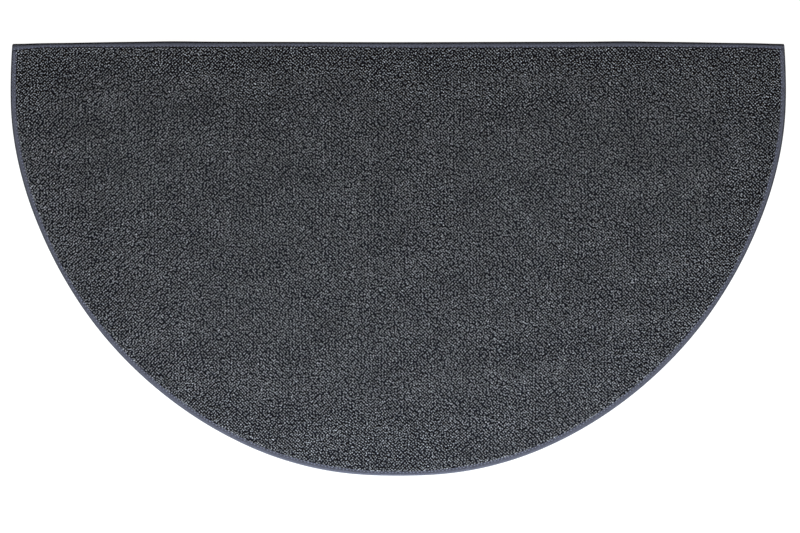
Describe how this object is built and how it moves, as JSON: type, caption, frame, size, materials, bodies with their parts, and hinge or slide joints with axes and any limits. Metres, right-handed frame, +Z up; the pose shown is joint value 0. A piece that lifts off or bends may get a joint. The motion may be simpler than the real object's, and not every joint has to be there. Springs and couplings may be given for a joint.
{
  "type": "half round hearth rug",
  "caption": "Flat half round hearth rug of heathered charcoal loop pile, its straight and curved edges bound with slate blue woven tape.",
  "frame": {"origin": "centre of the rug's bounding box, on its underside", "axes": "+X along the straight edge, +Y towards the straight edge, which lies against the hearth, +Z up out of the pile"},
  "size_m": [1.22, 0.6836, 0.0085],
  "materials": {
    "pile": "matte",
    "backing": "matte",
    "binding_tape": "satin",
    "binding_thread": "satin"
  },
  "bodies": {
    "root": {"carpet": "pile", "binding_arc": "binding_tape", "binding_straight": "binding_tape"}
  },
  "joints": []
}
